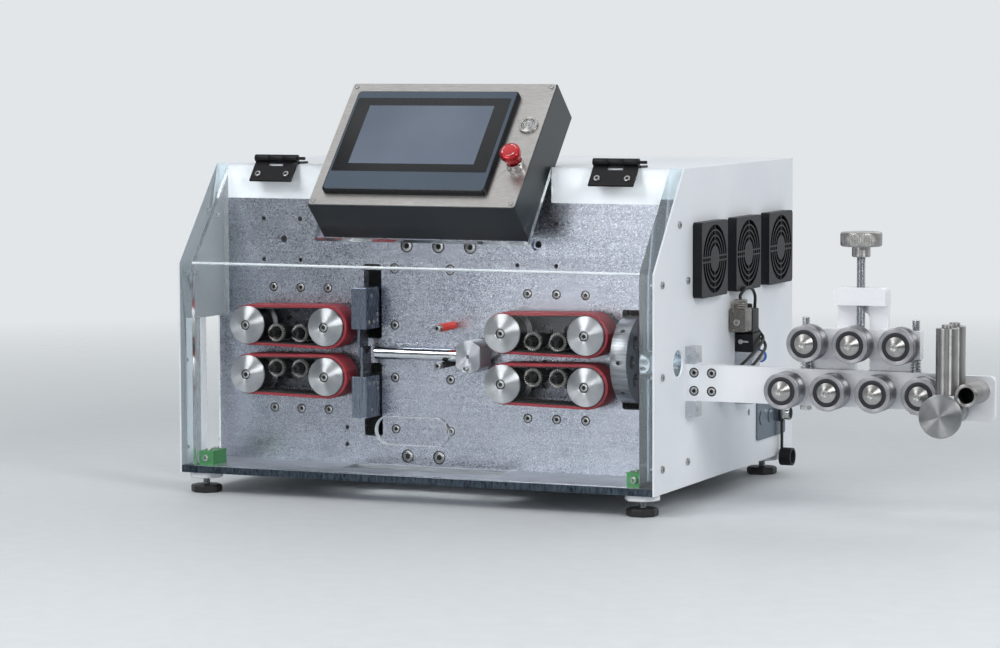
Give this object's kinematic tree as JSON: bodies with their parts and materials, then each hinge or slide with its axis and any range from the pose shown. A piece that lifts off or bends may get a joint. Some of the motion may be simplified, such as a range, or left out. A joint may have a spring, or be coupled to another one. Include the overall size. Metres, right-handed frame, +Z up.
{
  "type": "wire cutting and stripping machine",
  "caption": "Bench machine that feeds, cuts and strips wire: belt feeds, sliding V blades, a hinged clear guard, a tilted touchscreen box and a roller wire straightener arm",
  "frame": {"origin": "on the floor under the middle of the machine's overall box", "axes": "+X along the wire towards the inlet and the straightener, +Y to the back, +Z up"},
  "size_m": [0.9276, 0.46, 0.4659],
  "materials": {
    "base_steel": "sawn",
    "milled_aluminium": "milled and speckled",
    "white_paint": "fine powder coat",
    "foot_plastic": "satin",
    "screw_steel": "satin",
    "catch_plastic": "satin",
    "slate_paint": "fine powder coat",
    "brushed_face": "brushed",
    "screen_plastic": "satin frame and dark glass",
    "chrome": "polished",
    "red_paint": "gloss",
    "black_paint": "satin",
    "clear_acrylic": "clear",
    "black_plastic": "satin",
    "motor_steel": "satin",
    "panel_steel": "satin",
    "tool_steel": "ground",
    "anodised": "matte anodised",
    "belt_rubber": "matte red face over black teeth",
    "turned_aluminium": "turned",
    "idler_steel": "satin",
    "roller_steel": "ground"
  },
  "bodies": {
    "machine": {"base_plate": "base_steel", "front_plate": "milled_aluminium", "left_side_panel": "white_paint", "right_side_panel": "white_paint", "top_rear_cover": "white_paint", "levelling_feet": "foot_plastic", "screws_and_stops": "screw_steel", "cover_catches": "catch_plastic", "control_box": "slate_paint", "control_faceplate": "brushed_face", "touchscreen": "screen_plastic", "hinge_fixed_leaves": "black_paint", "guard_end_plates": "clear_acrylic", "fan_units": "black_plastic", "drive_motors": "motor_steel", "solenoid_valve": "black_plastic", "signal_connector": "panel_steel", "straightener_frame": "anodised", "pressure_springs": "screw_steel"},
    "guard": {"guard_cover": "clear_acrylic", "hinge_moving_leaves": "black_paint"},
    "power_button": {"power_button": "chrome"},
    "estop_button": {"estop_button": "red_paint"},
    "upper_blade": {"upper_blade_holder": "tool_steel"},
    "lower_blade": {"lower_blade_holder": "tool_steel"},
    "guide_tube": {"guide_tube": "chrome"},
    "guide_turret": {"guide_turret": "tool_steel"},
    "pressure_slide": {"pressure_slide": "anodised"},
    "pressure_screw": {"pressure_screw": "tool_steel"},
    "left_upper_feed": {"left_upper_belt": "belt_rubber"},
    "left_lower_feed": {"left_lower_belt": "belt_rubber"},
    "left_lower_pulley_in": {"left_lower_pulley_in": "turned_aluminium"},
    "left_lower_pulley_out": {"left_lower_pulley_out": "turned_aluminium"},
    "left_lower_idler_in": {"left_lower_idler_in": "idler_steel"},
    "left_lower_idler_out": {"left_lower_idler_out": "idler_steel"},
    "left_upper_pulley_in": {"left_upper_pulley_in": "turned_aluminium"},
    "left_upper_pulley_out": {"left_upper_pulley_out": "turned_aluminium"},
    "left_upper_idler_in": {"left_upper_idler_in": "idler_steel"},
    "left_upper_idler_out": {"left_upper_idler_out": "idler_steel"},
    "right_upper_feed": {"right_upper_belt": "belt_rubber"},
    "right_lower_feed": {"right_lower_belt": "belt_rubber"},
    "right_lower_pulley_in": {"right_lower_pulley_in": "turned_aluminium"},
    "right_lower_pulley_out": {"right_lower_pulley_out": "turned_aluminium"},
    "right_lower_idler_in": {"right_lower_idler_in": "idler_steel"},
    "right_lower_idler_out": {"right_lower_idler_out": "idler_steel"},
    "right_upper_pulley_in": {"right_upper_pulley_in": "turned_aluminium"},
    "right_upper_pulley_out": {"right_upper_pulley_out": "turned_aluminium"},
    "right_upper_idler_in": {"right_upper_idler_in": "idler_steel"},
    "right_upper_idler_out": {"right_upper_idler_out": "idler_steel"},
    "lower_roller_1": {"lower_roller_1": "roller_steel"},
    "lower_roller_2": {"lower_roller_2": "roller_steel"},
    "lower_roller_3": {"lower_roller_3": "roller_steel"},
    "lower_roller_4": {"lower_roller_4": "roller_steel"},
    "upper_roller_1": {"upper_roller_1": "roller_steel"},
    "upper_roller_2": {"upper_roller_2": "roller_steel"},
    "upper_roller_3": {"upper_roller_3": "roller_steel"},
    "cage_front_roller": {"cage_front_roller": "chrome"},
    "cage_rear_roller": {"cage_rear_roller": "chrome"},
    "cage_disc_roller": {"cage_disc_roller": "chrome"},
    "cage_hollow_roller": {"cage_hollow_roller": "chrome"}
  },
  "joints": [
    {"name": "guard_hinge", "type": "hinge", "parent": "machine", "child": "guard", "pos_m": [-0.17195, -0.138, 0.38055], "axis": [-1, 0, 0], "range_deg": [0, 95]},
    {"name": "power_press", "type": "slide", "parent": "machine", "child": "power_button", "axis": [0, 0.7361, -0.6769], "range_m": [0, 0.002], "stiffness_N_per_m": 600, "springref_m": -0.002},
    {"name": "estop_press", "type": "slide", "parent": "machine", "child": "estop_button", "axis": [0, 0.7361, -0.6769], "range_m": [0, 0.004], "stiffness_N_per_m": 1500, "springref_m": -0.002},
    {"name": "blade_stroke", "type": "slide", "parent": "machine", "child": "upper_blade", "axis": [0, 0, 1], "range_m": [-0.006, 0.02]},
    {"name": "lower_blade_stroke", "type": "slide", "parent": "machine", "child": "lower_blade", "axis": [0, 0, 1], "range_m": [-0.02, 0.006]},
    {"name": "guide_swing", "type": "hinge", "parent": "machine", "child": "guide_tube", "pos_m": [-0.10935, -0.157, 0.174], "axis": [0, 1, 0], "range_deg": [0, 19]},
    {"name": "turret_turn", "type": "hinge", "parent": "machine", "child": "guide_turret", "pos_m": [0.05555, -0.128, 0.162], "axis": [1, 0, 0], "continuous": true},
    {"name": "left_feed_gap", "type": "slide", "parent": "machine", "child": "left_upper_feed", "axis": [0, 0, 1], "range_m": [-0.002, 0.01]},
    {"name": "left_lower_gap", "type": "slide", "parent": "machine", "child": "left_lower_feed", "axis": [0, 0, 1], "range_m": [-0.01, 0.002]},
    {"name": "left_feed_spin", "type": "hinge", "parent": "left_lower_feed", "child": "left_lower_pulley_in", "pos_m": [-0.30295, -0.157, 0.13365], "axis": [0, 1, 0], "continuous": true},
    {"name": "left_lower_pulley_out_spin", "type": "hinge", "parent": "left_lower_feed", "child": "left_lower_pulley_out", "pos_m": [-0.40295, -0.157, 0.13365], "axis": [0, 1, 0], "continuous": true},
    {"name": "left_lower_idler_in_spin", "type": "hinge", "parent": "left_lower_feed", "child": "left_lower_idler_in", "pos_m": [-0.33795, -0.157, 0.14185], "axis": [0, 1, 0], "continuous": true},
    {"name": "left_lower_idler_out_spin", "type": "hinge", "parent": "left_lower_feed", "child": "left_lower_idler_out", "pos_m": [-0.36795, -0.157, 0.14185], "axis": [0, 1, 0], "continuous": true},
    {"name": "left_upper_pulley_in_spin", "type": "hinge", "parent": "left_upper_feed", "child": "left_upper_pulley_in", "pos_m": [-0.30295, -0.157, 0.19035], "axis": [0, 1, 0], "continuous": true},
    {"name": "left_upper_pulley_out_spin", "type": "hinge", "parent": "left_upper_feed", "child": "left_upper_pulley_out", "pos_m": [-0.40295, -0.157, 0.19035], "axis": [0, 1, 0], "continuous": true},
    {"name": "left_upper_idler_in_spin", "type": "hinge", "parent": "left_upper_feed", "child": "left_upper_idler_in", "pos_m": [-0.33795, -0.157, 0.18215], "axis": [0, 1, 0], "continuous": true},
    {"name": "left_upper_idler_out_spin", "type": "hinge", "parent": "left_upper_feed", "child": "left_upper_idler_out", "pos_m": [-0.36795, -0.157, 0.18215], "axis": [0, 1, 0], "continuous": true},
    {"name": "right_feed_gap", "type": "slide", "parent": "machine", "child": "right_upper_feed", "axis": [0, 0, 1], "range_m": [-0.002, 0.01]},
    {"name": "right_lower_gap", "type": "slide", "parent": "machine", "child": "right_lower_feed", "axis": [0, 0, 1], "range_m": [-0.01, 0.002]},
    {"name": "right_feed_spin", "type": "hinge", "parent": "right_lower_feed", "child": "right_lower_pulley_in", "pos_m": [0.01605, -0.157, 0.13365], "axis": [0, 1, 0], "continuous": true},
    {"name": "right_lower_pulley_out_spin", "type": "hinge", "parent": "right_lower_feed", "child": "right_lower_pulley_out", "pos_m": [-0.08395, -0.157, 0.13365], "axis": [0, 1, 0], "continuous": true},
    {"name": "right_lower_idler_in_spin", "type": "hinge", "parent": "right_lower_feed", "child": "right_lower_idler_in", "pos_m": [-0.01895, -0.157, 0.14185], "axis": [0, 1, 0], "continuous": true},
    {"name": "right_lower_idler_out_spin", "type": "hinge", "parent": "right_lower_feed", "child": "right_lower_idler_out", "pos_m": [-0.04895, -0.157, 0.14185], "axis": [0, 1, 0], "continuous": true},
    {"name": "right_upper_pulley_in_spin", "type": "hinge", "parent": "right_upper_feed", "child": "right_upper_pulley_in", "pos_m": [0.01605, -0.157, 0.19035], "axis": [0, 1, 0], "continuous": true},
    {"name": "right_upper_pulley_out_spin", "type": "hinge", "parent": "right_upper_feed", "child": "right_upper_pulley_out", "pos_m": [-0.08395, -0.157, 0.19035], "axis": [0, 1, 0], "continuous": true},
    {"name": "right_upper_idler_in_spin", "type": "hinge", "parent": "right_upper_feed", "child": "right_upper_idler_in", "pos_m": [-0.01895, -0.157, 0.18215], "axis": [0, 1, 0], "continuous": true},
    {"name": "right_upper_idler_out_spin", "type": "hinge", "parent": "right_upper_feed", "child": "right_upper_idler_out", "pos_m": [-0.04895, -0.157, 0.18215], "axis": [0, 1, 0], "continuous": true},
    {"name": "pressure_adjust", "type": "slide", "parent": "machine", "child": "pressure_slide", "axis": [0, 0, 1], "range_m": [-0.006, 0.006], "deforming": ["pressure_springs"]},
    {"name": "pressure_screw_turn", "type": "hinge", "parent": "pressure_slide", "child": "pressure_screw", "pos_m": [0.31715, -0.1293, 0.264], "axis": [0, 0, 1], "range_deg": [-1440, 1440]},
    {"name": "lower_roller_1_spin", "type": "hinge", "parent": "machine", "child": "lower_roller_1", "pos_m": [0.24065, -0.157, 0.1375], "axis": [0, 1, 0], "continuous": true},
    {"name": "lower_roller_2_spin", "type": "hinge", "parent": "machine", "child": "lower_roller_2", "pos_m": [0.29165, -0.157, 0.1375], "axis": [0, 1, 0], "continuous": true},
    {"name": "lower_roller_3_spin", "type": "hinge", "parent": "machine", "child": "lower_roller_3", "pos_m": [0.34265, -0.157, 0.1375], "axis": [0, 1, 0], "continuous": true},
    {"name": "lower_roller_4_spin", "type": "hinge", "parent": "machine", "child": "lower_roller_4", "pos_m": [0.39365, -0.157, 0.1375], "axis": [0, 1, 0], "continuous": true},
    {"name": "upper_roller_1_spin", "type": "hinge", "parent": "pressure_slide", "child": "upper_roller_1", "pos_m": [0.26615, -0.157, 0.1893], "axis": [0, 1, 0], "continuous": true},
    {"name": "upper_roller_2_spin", "type": "hinge", "parent": "pressure_slide", "child": "upper_roller_2", "pos_m": [0.31715, -0.157, 0.1893], "axis": [0, 1, 0], "continuous": true},
    {"name": "upper_roller_3_spin", "type": "hinge", "parent": "pressure_slide", "child": "upper_roller_3", "pos_m": [0.36815, -0.157, 0.1893], "axis": [0, 1, 0], "continuous": true},
    {"name": "cage_front_roller_spin", "type": "hinge", "parent": "machine", "child": "cage_front_roller", "pos_m": [0.42505, -0.1717, 0.174], "axis": [0, 0, 1], "continuous": true},
    {"name": "cage_rear_roller_spin", "type": "hinge", "parent": "machine", "child": "cage_rear_roller", "pos_m": [0.42505, -0.1423, 0.174], "axis": [0, 0, 1], "continuous": true},
    {"name": "cage_disc_roller_spin", "type": "hinge", "parent": "machine", "child": "cage_disc_roller", "pos_m": [0.42355, -0.157, 0.1195], "axis": [0, 1, 0], "continuous": true},
    {"name": "cage_hollow_roller_spin", "type": "hinge", "parent": "machine", "child": "cage_hollow_roller", "pos_m": [0.44945, -0.157, 0.142], "axis": [0, 1, 0], "continuous": true}
  ],
  "couplings": [
    {"joint": "lower_blade_stroke", "follows": "blade_stroke", "ratio": -1},
    {"joint": "left_lower_gap", "follows": "left_feed_gap", "ratio": -1},
    {"joint": "left_lower_pulley_out_spin", "follows": "left_feed_spin", "ratio": 1},
    {"joint": "left_lower_idler_in_spin", "follows": "left_feed_spin", "ratio": 1.7454},
    {"joint": "left_lower_idler_out_spin", "follows": "left_feed_spin", "ratio": 1.7454},
    {"joint": "left_upper_pulley_in_spin", "follows": "left_feed_spin", "ratio": -1},
    {"joint": "left_upper_pulley_out_spin", "follows": "left_feed_spin", "ratio": -1},
    {"joint": "left_upper_idler_in_spin", "follows": "left_feed_spin", "ratio": -1.7454},
    {"joint": "left_upper_idler_out_spin", "follows": "left_feed_spin", "ratio": -1.7454},
    {"joint": "right_lower_gap", "follows": "right_feed_gap", "ratio": -1},
    {"joint": "right_lower_pulley_out_spin", "follows": "right_feed_spin", "ratio": 1},
    {"joint": "right_lower_idler_in_spin", "follows": "right_feed_spin", "ratio": 1.7454},
    {"joint": "right_lower_idler_out_spin", "follows": "right_feed_spin", "ratio": 1.7454},
    {"joint": "right_upper_pulley_in_spin", "follows": "right_feed_spin", "ratio": -1},
    {"joint": "right_upper_pulley_out_spin", "follows": "right_feed_spin", "ratio": -1},
    {"joint": "right_upper_idler_in_spin", "follows": "right_feed_spin", "ratio": -1.7454},
    {"joint": "right_upper_idler_out_spin", "follows": "right_feed_spin", "ratio": -1.7454},
    {"joint": "pressure_screw_turn", "follows": "pressure_adjust", "rad_per_m": 4188.8}
  ]
}
